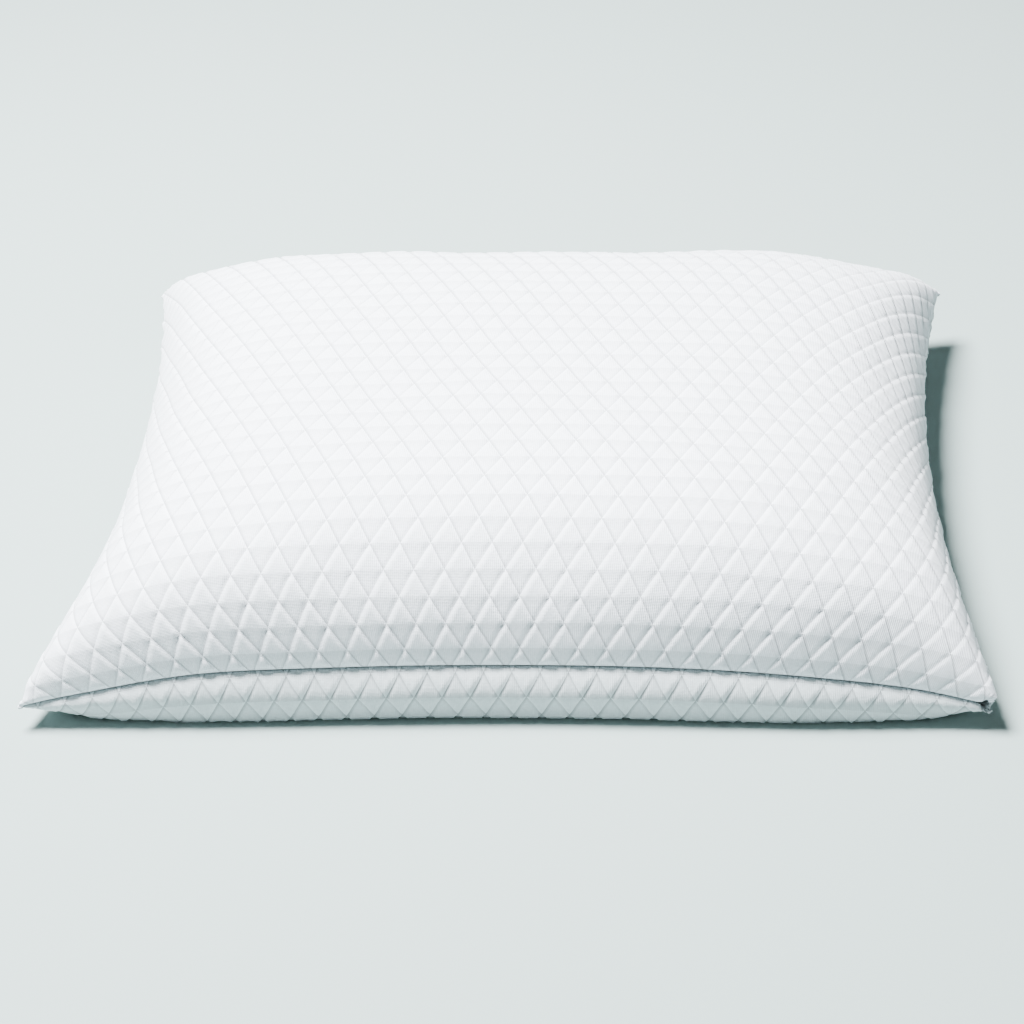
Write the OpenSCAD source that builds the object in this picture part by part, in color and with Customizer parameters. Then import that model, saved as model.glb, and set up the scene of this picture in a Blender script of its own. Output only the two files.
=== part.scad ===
// Bed pillow: a zipped knit cover over a zipped lining bag that holds loose foam.
// X runs across the pillow, Y from its front edge to the zipped back edge, and Z up.
// The origin is on the mattress, under the middle of the pillow.

/* [Pillow] */
// Width, corner to corner
pillow_w = 640; // [540:1:770]
// Depth, corner to corner
pillow_d = 490; // [405:1:590]
// Height of the crown above the seam
crown_rise = 96; // [78:1:120]
// How far the crown's highest line lies in front of the middle
crown_lead = 11; // [0:1:45]
// Height of the seam above the mattress
seam_h = 40; // [33:1:50]
// How much lower the seam sits at the front corners
corner_drop = 23; // [0:1:28]
// How much higher the seam sits along the back edge
back_lift = 5; // [0:1:8]
// How far the middle of each side edge is drawn in
side_pull = 27; // [0:1:33]
// How far the middle of the front edge is drawn in
front_pull = 16; // [0:1:20]
// How far the filling pushes the lower panel out past the front seam
front_belly = 12; // [0:1:18]
// How far the zipped stretch of the back edge is drawn in
back_pull = 13; // [0:1:20]

/* [Cover] */
// Thickness of the knitted cover cloth
cover_t = 1.6; // [1:0.1:2.4]
// Width of the turned-in seam allowance of the cover
cover_allowance = 8; // [6:0.5:10]
// Distance from each end of the cover's zip to the corner
cover_zip_margin = 70; // [60:1:100]

/* [Lining bag] */
// Thickness of the lining cloth
liner_t = 0.6; // [0.4:0.1:1]
// How far the lining bag's seam lies inside the cover's seam
liner_inset = 13; // [12:0.5:18]
// Free space between the cover and the lining bag over the crown
liner_gap = 0.6; // [0.4:0.1:1.5]
// Width of the turned-in seam allowance of the lining bag
liner_allowance = 6; // [5:0.5:8]
// Distance from each end of the lining bag's zip to its corner
liner_zip_margin = 95; // [80:1:120]

/* [Fill] */
// How far the foam stays inside the lining bag's seam
foam_inset = 11; // [10:0.5:16]
// Free space between the lining bag and the foam over the crown
foam_gap = 0.5; // [0.3:0.1:1.5]

/* [Zips] */
// Diameter of one row of coil on the cover's zip
cover_coil_d = 2.2; // [1.8:0.1:2.6]
// Diameter of one row of coil on the lining bag's zip
liner_coil_d = 1.8; // [1.5:0.1:2.2]
// Width of one tape on the cover's zip
cover_tape_w = 11; // [9:0.5:13]
// Width of one tape on the lining bag's zip
liner_tape_w = 9; // [8:0.5:11]
// Length of the cover's pull tab
cover_pull_l = 24; // [18:0.5:30]
// Length of the lining bag's pull tab
liner_pull_l = 18; // [14:0.5:24]
// Thickness of the zip tape
tape_t = 0.6; // [0.4:0.1:0.9]
// Running clearance between a slider and the zip
run_gap = 0.2; // [0.15:0.05:0.4]

/* [Hidden] */
$fn = 32;

// Shape of the crown: higher powers keep it fuller, and lower edge powers make it rise more steeply.
crown_power_x = 4.2;
crown_power_y = 3.8;
edge_power_x = 0.47;
edge_power_y = 0.41;
// The underside lies flat on the mattress where the crown's share is above 1 / settle.
settle = 3.4;

// Squares of the nets that the cloth and the foam are made of.
cloth_nx = 26;
cloth_ny = 20;
foam_nx = 16;
foam_ny = 12;

// Half of the slit between the two panels where they are sewn.
seam_gap = 0.1;
// Overlock thread: its reach past the allowance's edge, and its thickness over the cloth.
thread_gap = 0.2;
thread_w = 1.2;
thread_over = 0.3;

// Zip details.
coil_split = 1.2;      // gap between the two rows of coil, where the slider's post runs
post_t = 0.8;          // thickness of the slider's post
plate_t = 1;           // thickness of the slider's plates
slider_l = 10;         // length of a slider
flange_t = 0.7;        // thickness of the slider's turned-in edges
lip_gap = 0.7;         // from the slider's side to the cloth's edge
wall_gap = 0.3;        // from the cloth's inner face to the tape
tape_lean = 45;        // how far the tape leans in behind the cloth, in degrees
stop_l = 2.5;          // length of an end stop
stitch_w = 0.4;        // thickness of the topstitching thread
stitch_gap = 0.45;     // from the cloth's face to the topstitching
stitch_in = 2.2;       // from the cloth's edge to the topstitching
zip_end = 4;           // from the end of the tape to the first stop
bridge_l = 6.4;        // length of the bridge that holds the pull
bridge_w = 2.8;        // width of that bridge
bridge_t = 0.8;        // thickness of its bar
tunnel_l = 4;          // length of the tunnel under the bridge
tunnel_h = 1.9;        // height of that tunnel
pin_r = 0.7;           // radius of the pull's crossbar
arm_w = 1;             // width of each arm of the pull
arm_gap = 0.25;        // from the bridge's side to an arm
arm_l = 5;             // from the crossbar to the tab
tab_w = 6.4;           // width of the pull's tab
tab_t = 1.2;           // thickness of the pull
tab_hole_r = 1.2;      // radius of the hole in the tab

function cover_slot_half() = slider_half(cover_coil_d) + lip_gap;
function liner_slot_half() = slider_half(liner_coil_d) + lip_gap;
function slider_half(coil_d) = coil_split / 2 + coil_d + 2 * run_gap + flange_t;
cover_zip_half = pillow_w / 2 - cover_zip_margin;
liner_zip_half = pillow_w / 2 - liner_inset - liner_zip_margin;

// ---- The pillow's shape ----

// The stretch of the back edge that is kept straight for the zips, as a share of half the width.
straight = (cover_zip_half + 3) / (pillow_w / 2);

// Share of the back edge's pull at s: 1 along the straight stretch, falling to 0 at the corner.
function back_share(s) =
    abs(s) <= straight ? 1 : (1 + cos(180 * (abs(s) - straight) / (1 - straight))) / 2;

// Plan position at s, t (each -1 to 1) on an outline set in by inset.
function plan(s, t, inset) = [
    s * (pillow_w / 2 - inset - side_pull * (1 - t * t)),
    t * (pillow_d / 2 - inset - (t < 0 ? front_pull * (1 - s * s) : back_pull * back_share(s)))
];

// How far the filling pushes the lower panel out past the front seam at s, t.
function belly(s, t) =
    t < 0 ? front_belly * -pow(t, 3) * (1 - pow(s, 4)) * sin(180 * sqrt(crown(s, t))) : 0;

// Height of the seam surface over a plan position.
function seam_z(p) =
    seam_h
    - corner_drop * pow(abs(p[0]) / (pillow_w / 2), 3) * pow((pillow_d / 2 - p[1]) / pillow_d, 3)
    + back_lift * pow((p[1] + pillow_d / 2) / pillow_d, 2);

// Share of the full crown at s, t: 0 at the seam and 1 at its highest.
function crown(s, t) =
    let (shifted = t + (1 - t * t) * crown_lead / (pillow_d / 2))
    pow(max(0, 1 - pow(abs(s), crown_power_x)), edge_power_x)
    * pow(max(0, 1 - pow(abs(shifted), crown_power_y)), edge_power_y);
function settled(s, t) = min(1, settle * crown(s, t));

// A point of a layer. side is 1 over the seam and -1 under it, inset its outline's distance from the
// cover's, edge its distance from the seam surface near the outline, and depth its distance inside the
// cover's outer face in the middle.
function layer_point(side, s, t, inset, edge, depth) =
    let (p = plan(s, t, inset), z = seam_z(p))
    side > 0
        ? [p[0], p[1], z + edge + (crown_rise - edge - depth) * crown(s, t)]
        : [p[0], p[1] - belly(s, t), (z - edge) * (1 - settled(s, t)) + depth * settled(s, t)];

// Station i of n from -1 to 1, closer together near the ends.
function station(i, n) = sin(90 * (2 * i / n - 1));

// The points of one face of a layer, row by row. rim_edge is edge's value on the outline itself.
function face_points(side, nx, ny, inset, rim_edge, edge, depth) = [
    for (j = [0:ny], i = [0:nx])
        let (on_rim = i == 0 || i == nx || j == 0 || j == ny)
        layer_point(side, station(i, nx), station(j, ny), inset, on_rim ? rim_edge : edge, depth)
];

// Just inside its rim, a panel's outer face clears the turned-in allowance and the panel itself.
function over_hem(t) = seam_gap + 2 * t;

// Points round the outline at a height above or below the seam surface.
function ring_points(nx, ny, inset, height) = [
    for (k = [0:2 * (nx + ny) - 1])
        let (c = rim_cell(k, nx, ny), p = plan(station(c[0], nx), station(c[1], ny), inset))
        [p[0], p[1], seam_z(p) + height]
];

// Column and row of step k round the net's rim.
function rim_cell(k, nx, ny) =
    k < nx ? [k, 0]
    : k < nx + ny ? [nx, k - nx]
    : k < 2 * nx + ny ? [2 * nx + ny - k, ny]
    : [0, 2 * (nx + ny) - k];
function rim_index(k, nx, ny, first) = let (c = rim_cell(k, nx, ny)) first + c[1] * (nx + 1) + c[0];

// Triangles of a net, seen from above when up is true.
function net_faces(nx, ny, first, up) = [
    for (j = [0:ny - 1], i = [0:nx - 1], half = [0, 1])
        let (
            a = first + j * (nx + 1) + i, b = a + 1, c = a + nx + 2, d = a + nx + 1,
            face = half == 0 ? [a, d, c] : [a, c, b]
        )
        up ? face : [face[2], face[1], face[0]]
];

// Triangles of the band between two loops of n points. The loops are lists of point numbers.
function band_faces(lower, upper, n, outward) = [
    for (k = [0:n - 1], half = [0, 1])
        let (
            m = (k + 1) % n,
            face = half == 0 ? [lower[k], upper[k], upper[m]] : [lower[k], upper[m], lower[m]]
        )
        outward ? face : [face[2], face[1], face[0]]
];

// ---- Cloth panels ----

// One panel: its outer and inner faces, joined round the turned-in seam allowance.
module panel(side, inset, depth, t, allowance) {
    n = 2 * (cloth_nx + cloth_ny);
    net = (cloth_nx + 1) * (cloth_ny + 1);
    outer = face_points(side, cloth_nx, cloth_ny, inset, seam_gap, over_hem(t), depth);
    inner = face_points(side, cloth_nx, cloth_ny, inset + t, seam_gap + t, seam_gap + t, depth + t);
    near = ring_points(cloth_nx, cloth_ny, inset + allowance, side * seam_gap);
    far = ring_points(cloth_nx, cloth_ny, inset + allowance, side * (seam_gap + t));
    outer_rim = [for (k = [0:n - 1]) rim_index(k, cloth_nx, cloth_ny, 0)];
    inner_rim = [for (k = [0:n - 1]) rim_index(k, cloth_nx, cloth_ny, net)];
    near_rim = [for (k = [0:n - 1]) 2 * net + k];
    far_rim = [for (k = [0:n - 1]) 2 * net + n + k];
    top = side > 0;
    polyhedron(
        points = concat(outer, inner, near, far),
        faces = concat(
            band_faces(near_rim, outer_rim, n, top),
            band_faces(far_rim, near_rim, n, top),
            band_faces(inner_rim, far_rim, n, top),
            net_faces(cloth_nx, cloth_ny, 0, top),
            net_faces(cloth_nx, cloth_ny, net, !top)
        ),
        convexity = 6
    );
}

// The panel with the slot cut out where its edges are sewn to the zip tapes.
module slotted_panel(side, inset, depth, t, allowance, zip_half, slot_half) {
    difference() {
        panel(side, inset, depth, t, allowance);
        translate([-zip_half - 1, back_y(inset) - allowance - 2, back_z() - slot_half])
            cube([2 * zip_half + 2, allowance + 4, 2 * slot_half]);
    }
}

module cover_panel(side) {
    slotted_panel(side, 0, 0, cover_t, cover_allowance, cover_zip_half, cover_slot_half());
}
module liner_panel(side) {
    slotted_panel(
        side, liner_inset, liner_depth(), liner_t, liner_allowance, liner_zip_half, liner_slot_half()
    );
}
function liner_depth() = cover_t + liner_gap;

module cover_top() { color("white") cover_panel(1); }
module cover_bottom() { color("#dfe9e8") cover_panel(-1); }
module liner_top() { color("#f4f2ec") liner_panel(1); }
module liner_bottom() { color("#f4f2ec") liner_panel(-1); }

// ---- Overlock thread round the edges of the seam allowances ----

// A bar swept through four-cornered sections. Each section's corners run round the same way.
module bar(sections, turned) {
    points = [for (section = sections) each section];
    last = len(points) - 4;
    walls = [
        for (k = [0:len(sections) - 2], c = [0:3], half = [0, 1])
            let (p = 4 * k + c, q = 4 * k + (c + 1) % 4)
            half == 0 ? [p, q, q + 4] : [p, q + 4, p + 4]
    ];
    ends = [[3, 2, 1], [3, 1, 0], [last, last + 1, last + 2], [last, last + 2, last + 3]];
    faces = concat(walls, ends);
    polyhedron(points, turned ? faces : [for (f = faces) [f[2], f[1], f[0]]], convexity = 4);
}

// A bar along one edge of the outline, through the given shares of that edge.
// edge is 0 at the front, 1 on the right, 2 at the back and 3 on the left.
module thread_bar(edge, shares, inset, t) {
    function corner_point(share, way, height) =
        let (
            d = inset + thread_gap + way * thread_w,
            p = edge == 0 ? plan(share, -1, d)
                : edge == 1 ? plan(1, share, d)
                : edge == 2 ? plan(share, 1, d)
                : plan(-1, share, d)
        )
        [p[0], p[1], seam_z(p) + height];
    h = seam_gap + t + thread_over;
    sections = [
        for (share = shares) [
            corner_point(share, 0, -h), corner_point(share, 1, -h),
            corner_point(share, 1, h), corner_point(share, 0, h)
        ]
    ];
    bar(sections, edge >= 2);
}

// The thread passes through the same stations as the cloth, and leaves the corners free.
function edge_shares(n) = [for (k = [1:n - 1]) station(k, n)];

module thread_side(edge, inset, t) {
    thread_bar(edge, edge_shares(edge == 0 ? cloth_nx : cloth_ny), inset, t);
}

// At the back the thread runs from each corner up to the zip.
module thread_back(inset, t, zip_half) {
    near = (zip_half + zip_end) / (pillow_w / 2 - inset);
    right = concat([near], [for (share = edge_shares(cloth_nx)) if (share > near) share]);
    thread_bar(2, right, inset, t);
    mirror([1, 0, 0]) thread_bar(2, right, inset, t);
}

module cover_thread(edge) { color("#eef0f0") thread_side(edge, cover_allowance, cover_t); }
module liner_thread(edge) {
    color("#eef0f0") thread_side(edge, liner_inset + liner_allowance, liner_t);
}
module cover_thread_front() { cover_thread(0); }
module cover_thread_right() { cover_thread(1); }
module cover_thread_left() { cover_thread(3); }
module cover_thread_back() { color("#eef0f0") thread_back(cover_allowance, cover_t, cover_zip_half); }
module liner_thread_front() { liner_thread(0); }
module liner_thread_right() { liner_thread(1); }
module liner_thread_left() { liner_thread(3); }
module liner_thread_back() {
    color("#eef0f0") thread_back(liner_inset + liner_allowance, liner_t, liner_zip_half);
}

// ---- Zips ----

// Place of the back edge's straight stretch.
function back_y(inset) = plan(0, 1, inset)[1];
function back_z() = seam_z([0, back_y(0)]);

// How far the outer face of a panel lies inside the back edge, at share s of the width and at
// height h above or below the zip's line.
wall_rows = 6;
function wall_lean(side, s, h, inset, depth, t) = lookup(h, [
    for (k = [0:wall_rows])
        let (
            edge = k == 0 ? seam_gap : over_hem(t),
            p = layer_point(side, s, station(cloth_ny - k, cloth_ny), inset, edge, depth)
        )
        [side * (p[2] - back_z()), back_y(inset) - p[1]]
]);
function most_lean(h, inset, depth, t) =
    max([for (side = [-1, 1]) wall_lean(side, straight, h, inset, depth, t)]);

// Local frame of a zip: origin on the tape's outer face in the middle, +Y out of the pillow.
module at_zip(inset, depth, t, slot_half) {
    translate([0, back_y(inset) - most_lean(slot_half, inset, depth, t) - t - wall_gap, back_z()]) children();
}

// side is 1 for the upper half of the zip and -1 for the lower half. The tape is flat where the
// slider runs, then leans in behind the cloth.
module zip_tape(side, zip_half, tape_w, slot_half) {
    reach = tape_w - (slot_half - coil_split / 2);
    in = reach * sin(tape_lean);
    up = slot_half + reach * cos(tape_lean);
    mirror([0, 0, side > 0 ? 0 : 1])
        translate([-zip_half, 0, 0]) rotate([90, 0, 90]) linear_extrude(2 * zip_half)
            polygon([
                [0, coil_split / 2], [0, slot_half], [-in, up],
                [-in - tape_t, up], [-tape_t, slot_half], [-tape_t, coil_split / 2]
            ]);
}

// x of the bottom stop's inner end: the pull needs the rest of the slot to lie in.
function open_end(zip_half, pull_l) = -zip_half + pull_l + zip_end;
function closed_end(zip_half) = zip_half - zip_end - stop_l;
function travel(zip_half, pull_l) =
    closed_end(zip_half) - open_end(zip_half, pull_l) - slider_l - 2 * run_gap;

module zip_coil(side, zip_half, coil_d, pull_l) {
    from = open_end(zip_half, pull_l);
    translate([from, coil_d / 2, side * (coil_split / 2 + coil_d / 2)])
        rotate([0, 90, 0]) cylinder(d = coil_d, h = closed_end(zip_half) - from);
}

module zip_top_stops(zip_half, coil_d) {
    for (side = [-1, 1])
        translate([closed_end(zip_half), 0, side > 0 ? coil_split / 2 : -coil_split / 2 - coil_d])
            cube([stop_l, coil_d + run_gap, coil_d]);
}

module zip_bottom_stop(zip_half, coil_d, pull_l) {
    translate([open_end(zip_half, pull_l) - stop_l, 0, -coil_split / 2 - coil_d])
        cube([stop_l, coil_d, coil_split + 2 * coil_d]);
}

// Topstitching that holds the cloth to the tape. It lies on the cloth's outer face.
module zip_stitching(side, inset, depth, t, zip_half, slot_half) {
    reach = zip_half / (pillow_w / 2 - inset);
    function corner_point(s, out, h) = [
        s * (pillow_w / 2 - inset),
        back_y(inset) - wall_lean(side, s, h, inset, depth, t) + stitch_gap + out,
        back_z() + side * h
    ];
    low = slot_half + stitch_in;
    high = low + stitch_w;
    shares = concat([-reach], [for (s = edge_shares(cloth_nx)) if (abs(s) < reach) s], [reach]);
    sections = [
        for (s = shares) [
            corner_point(s, 0, low), corner_point(s, stitch_w, low),
            corner_point(s, stitch_w, high), corner_point(s, 0, high)
        ]
    ];
    bar(sections, side > 0);
}

function plate_y(coil_d) = coil_d + run_gap;
function pin_y(coil_d) = plate_y(coil_d) + plate_t + tunnel_h / 2;

// Outline of a slider's plate: wide at the mouth and drawn in towards its tail.
module plate_outline(half) {
    polygon([
        [-slider_l / 2, -half * 0.72], [-slider_l / 5, -half], [slider_l / 3, -half],
        [slider_l / 2, -half * 0.8], [slider_l / 2, half * 0.8], [slider_l / 3, half],
        [-slider_l / 5, half], [-slider_l / 2, half * 0.72]
    ]);
}

module plate(half, y) {
    translate([0, y + plate_t, 0]) rotate([90, 0, 0]) linear_extrude(plate_t) plate_outline(half);
}

// The slider stands with its middle at x = 0 of its own frame.
module zip_slider(coil_d) {
    half = slider_half(coil_d);
    back = -tape_t - run_gap - plate_t;
    plate(half, plate_y(coil_d));
    plate(half, back);
    // The post that joins the plates and parts the coils.
    translate([-slider_l / 6, back, -post_t / 2])
        cube([slider_l / 3, plate_y(coil_d) + plate_t - back, post_t]);
    // The turned-in edges that hold the coils.
    for (side = [-1, 1])
        translate([-slider_l / 5, run_gap, side > 0 ? half - flange_t : -half])
            cube([slider_l / 5 + slider_l / 3, plate_y(coil_d) - run_gap + plate_t / 2, flange_t]);
    // The bridge that the pull hangs on.
    top = plate_y(coil_d) + plate_t;
    for (x = [-bridge_l / 2, tunnel_l / 2])
        translate([x, top - plate_t / 2, -bridge_w / 2])
            cube([(bridge_l - tunnel_l) / 2, tunnel_h + bridge_t + plate_t / 2, bridge_w]);
    translate([-bridge_l / 2, top + tunnel_h, -bridge_w / 2]) cube([bridge_l, bridge_t, bridge_w]);
}

// The pull, with its crossbar along Z through the origin and its tab towards -X.
module zip_pull(pull_l) {
    reach = bridge_w / 2 + arm_gap + arm_w;
    translate([0, 0, -reach]) cylinder(r = pin_r, h = 2 * reach);
    for (side = [-1, 1])
        translate([-arm_l, -tab_t / 2, side > 0 ? reach - arm_w : -reach])
            cube([arm_l, tab_t, arm_w]);
    difference() {
        translate([0, tab_t / 2, 0]) rotate([90, 0, 0]) linear_extrude(tab_t)
            hull() {
                translate([-arm_l - 1, -tab_w / 2]) square([1, tab_w]);
                translate([-pull_l + tab_w / 2, 0]) circle(d = tab_w);
            }
        translate([-pull_l + tab_w / 2, 0, 0]) rotate([90, 0, 0])
            cylinder(r = tab_hole_r, h = 2 * tab_t, center = true);
    }
}

module in_cover_zip() { at_zip(0, 0, cover_t, cover_slot_half()) children(); }
module in_liner_zip() { at_zip(liner_inset, liner_depth(), liner_t, liner_slot_half()) children(); }
module at_closed_end(zip_half) {
    translate([closed_end(zip_half) - slider_l / 2 - run_gap, 0, 0]) children();
}

module cover_tape(side) {
    color("#f2f2ee") in_cover_zip() zip_tape(side, cover_zip_half, cover_tape_w, cover_slot_half());
}
module cover_coil(side) {
    color("#ececea") in_cover_zip() zip_coil(side, cover_zip_half, cover_coil_d, cover_pull_l);
}
module cover_stitching(side) {
    color("#f4f4f4") zip_stitching(side, 0, 0, cover_t, cover_zip_half, cover_slot_half());
}
module cover_zip_tape_upper() { cover_tape(1); }
module cover_zip_tape_lower() { cover_tape(-1); }
module cover_zip_coil_upper() { cover_coil(1); }
module cover_zip_coil_lower() { cover_coil(-1); }
module cover_zip_stitching_upper() { cover_stitching(1); }
module cover_zip_stitching_lower() { cover_stitching(-1); }
module cover_zip_top_stops() { color("silver") in_cover_zip() zip_top_stops(cover_zip_half, cover_coil_d); }
module cover_zip_bottom_stop() {
    color("silver") in_cover_zip() zip_bottom_stop(cover_zip_half, cover_coil_d, cover_pull_l);
}
module cover_zip_slider() {
    color("silver") in_cover_zip() at_closed_end(cover_zip_half) zip_slider(cover_coil_d);
}
module cover_zip_pull() {
    color("silver") in_cover_zip() at_closed_end(cover_zip_half)
        translate([0, pin_y(cover_coil_d), 0]) zip_pull(cover_pull_l);
}

module liner_tape(side) {
    color("#f2f2ee") in_liner_zip() zip_tape(side, liner_zip_half, liner_tape_w, liner_slot_half());
}
module liner_coil(side) {
    color("#ececea") in_liner_zip() zip_coil(side, liner_zip_half, liner_coil_d, liner_pull_l);
}
module liner_stitching(side) {
    color("#f4f4f4") zip_stitching(
        side, liner_inset, liner_depth(), liner_t, liner_zip_half, liner_slot_half()
    );
}
module liner_zip_tape_upper() { liner_tape(1); }
module liner_zip_tape_lower() { liner_tape(-1); }
module liner_zip_coil_upper() { liner_coil(1); }
module liner_zip_coil_lower() { liner_coil(-1); }
module liner_zip_stitching_upper() { liner_stitching(1); }
module liner_zip_stitching_lower() { liner_stitching(-1); }
module liner_zip_top_stops() { color("silver") in_liner_zip() zip_top_stops(liner_zip_half, liner_coil_d); }
module liner_zip_bottom_stop() {
    color("silver") in_liner_zip() zip_bottom_stop(liner_zip_half, liner_coil_d, liner_pull_l);
}
module liner_zip_slider() {
    color("silver") in_liner_zip() at_closed_end(liner_zip_half) zip_slider(liner_coil_d);
}
module liner_zip_pull() {
    color("silver") in_liner_zip() at_closed_end(liner_zip_half)
        translate([0, pin_y(liner_coil_d), 0]) zip_pull(liner_pull_l);
}

// ---- Care label and fill ----

label_w = 40;
label_h = 24;
label_t = 0.3;

// A blank label caught in the lining bag's left seam, standing between the bag and the cover.
module care_label() {
    x = plan(-1, 0, liner_inset - 1.2)[0];
    color("#f6f6f4") translate([x, -label_w / 2, seam_z([x, 0]) + 1]) cube([label_t, label_w, label_h]);
}

// The loose foam, as the one mass that it settles into.
module foam_fill() {
    inset = liner_inset + foam_inset;
    depth = liner_depth() + liner_t + foam_gap;
    n = 2 * (foam_nx + foam_ny);
    net = (foam_nx + 1) * (foam_ny + 1);
    over_rim = [for (k = [0:n - 1]) rim_index(k, foam_nx, foam_ny, 0)];
    under_rim = [for (k = [0:n - 1]) rim_index(k, foam_nx, foam_ny, net)];
    color("#f3efc9") polyhedron(
        points = concat(
            face_points(1, foam_nx, foam_ny, inset, 1, 1, depth),
            face_points(-1, foam_nx, foam_ny, inset, 1, 1, depth)
        ),
        faces = concat(
            net_faces(foam_nx, foam_ny, 0, true),
            net_faces(foam_nx, foam_ny, net, false),
            band_faces(under_rim, over_rim, n, true)
        ),
        convexity = 4
    );
}

cover_top();
cover_bottom();
cover_thread_front();
cover_thread_left();
cover_thread_right();
cover_thread_back();
cover_zip_tape_upper();
cover_zip_tape_lower();
cover_zip_coil_upper();
cover_zip_coil_lower();
cover_zip_stitching_upper();
cover_zip_stitching_lower();
cover_zip_top_stops();
cover_zip_bottom_stop();
cover_zip_slider();
cover_zip_pull();
liner_top();
liner_bottom();
liner_thread_front();
liner_thread_left();
liner_thread_right();
liner_thread_back();
liner_zip_tape_upper();
liner_zip_tape_lower();
liner_zip_coil_upper();
liner_zip_coil_lower();
liner_zip_stitching_upper();
liner_zip_stitching_lower();
liner_zip_top_stops();
liner_zip_bottom_stop();
liner_zip_slider();
liner_zip_pull();
care_label();
foam_fill();
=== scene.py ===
# %% [markdown]
# # A bed pillow
# This lesson dresses a plain working model of a bed pillow. The working model, the frame, says where
# every piece lies and which pieces move. The lesson makes the cloth, the seams, the zips and the foam
# around it, and leaves every size as the frame has it.
#
# Lengths are in metres. X runs across the pillow, Y from its front edge to its zipped back edge, and
# Z up from the bed.

# %% Load the frame
import math

import bmesh
import bpy
import numpy as np
from mathutils import Matrix, Vector
from mathutils.bvhtree import BVHTree
from mathutils.kdtree import KDTree


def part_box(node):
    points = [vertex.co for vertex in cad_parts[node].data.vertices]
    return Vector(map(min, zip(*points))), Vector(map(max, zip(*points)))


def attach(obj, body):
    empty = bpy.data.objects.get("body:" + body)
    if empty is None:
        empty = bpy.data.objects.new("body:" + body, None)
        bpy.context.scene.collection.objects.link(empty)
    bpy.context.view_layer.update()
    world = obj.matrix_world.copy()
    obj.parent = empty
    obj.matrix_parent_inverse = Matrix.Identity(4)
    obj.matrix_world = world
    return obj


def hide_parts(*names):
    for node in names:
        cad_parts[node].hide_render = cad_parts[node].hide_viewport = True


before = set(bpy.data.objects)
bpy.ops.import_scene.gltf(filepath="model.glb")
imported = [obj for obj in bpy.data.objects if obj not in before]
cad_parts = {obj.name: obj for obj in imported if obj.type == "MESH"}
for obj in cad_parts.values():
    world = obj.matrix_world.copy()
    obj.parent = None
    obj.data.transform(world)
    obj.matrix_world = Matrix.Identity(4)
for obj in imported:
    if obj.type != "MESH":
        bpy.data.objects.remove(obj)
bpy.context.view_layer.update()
MM = 0.001
print("nodes:", len(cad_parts))

# %% [markdown]
# ## The pillow's form
# A filled pillow is two flat panels sewn together and blown up by what is inside. Its outline draws in
# between the corners, its crown is broad, and its underside is flat where it lies.
#
# It could be sculpted by hand, but a formula is easier to change: every later piece asks the same
# formula where the cloth is. `s` and `t` run from -1 to 1 across and along a panel.

# %% Sizes of the form
panel_low, panel_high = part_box("cover_top")
WIDTH = panel_high[0] - panel_low[0]
DEPTH = panel_high[1] - panel_low[1]
SEAM_H = 40 * MM
CORNER_DROP = 23 * MM
BACK_LIFT = 5 * MM
SIDE_PULL = 27 * MM
FRONT_PULL = 16 * MM
FRONT_BELLY = 12 * MM
BACK_PULL = 13 * MM
CROWN_RISE = 96 * MM
CROWN_LEAD = 11 * MM
CROWN_POWER_X, CROWN_POWER_Y = 4.2, 3.8
EDGE_POWER_X, EDGE_POWER_Y = 0.47, 0.41
SETTLE = 3.4
ZIP_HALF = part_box("cover_zip_tape_upper")[1][0]
STRAIGHT = (ZIP_HALF + 3 * MM) / (WIDTH / 2)
print(f"the pillow is {WIDTH:.3f} m wide and {DEPTH:.3f} m deep")


# %% The form as functions of s and t
def rise_between(x, low, high):
    """0 below low, 1 above high, and a smooth rise between."""
    share = np.clip((x - low) / (high - low), 0, 1)
    return share * share * (3 - 2 * share)


def outline(s, t, inset):
    """Plan position of a point of the form, its outline set in by inset."""
    past = np.clip((np.abs(s) - STRAIGHT) / (1 - STRAIGHT), 0, 1)
    back = BACK_PULL * (1 + np.cos(np.pi * past)) / 2
    pull = np.where(t < 0, FRONT_PULL * (1 - s * s), back)
    x = s * (WIDTH / 2 - inset - SIDE_PULL * (1 - t * t))
    return x, t * (DEPTH / 2 - inset - pull)


def seam_height(x, y):
    """Height of the seam surface. It dips to the bed at the two front corners."""
    forward = np.clip((DEPTH / 2 - y) / DEPTH, 0, None)
    dip = CORNER_DROP * (np.abs(x) / (WIDTH / 2)) ** 3 * forward ** 3
    return SEAM_H - dip + BACK_LIFT * ((y + DEPTH / 2) / DEPTH) ** 2


def fullness(s, t):
    """Share of the full crown: 0 at the seam and 1 at the highest place."""
    shifted = t + (1 - t * t) * CROWN_LEAD / (DEPTH / 2)
    across = np.clip(1 - np.abs(s) ** CROWN_POWER_X, 0, None) ** EDGE_POWER_X
    along = np.clip(1 - np.abs(shifted) ** CROWN_POWER_Y, 0, None) ** EDGE_POWER_Y
    return across * along


UNEVEN = [
    ((-310 * MM, -110 * MM), 70 * MM, (4 * MM, 0, 0)),
    ((-320 * MM, -240 * MM), 40 * MM, (-6 * MM, 0, 0)),
    ((-210 * MM, -240 * MM), 60 * MM, (0, 0, 3 * MM)),
    ((270 * MM, -220 * MM), 50 * MM, (0, 3 * MM, 0))
]


def put_down(x, y, z):
    """Small pushes where the pillow was put down by hand: place, reach and push."""
    moved_x, moved_y, moved_z = x, y, z
    for (at_x, at_y), reach, push in UNEVEN:
        near = np.exp(-((x - at_x) ** 2 + (y - at_y) ** 2) / reach ** 2)
        moved_x = moved_x + push[0] * near
        moved_y = moved_y + push[1] * near
        moved_z = moved_z + push[2] * near * np.clip(z / (30 * MM), 0, 1)
    return moved_x, moved_y, moved_z


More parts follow.
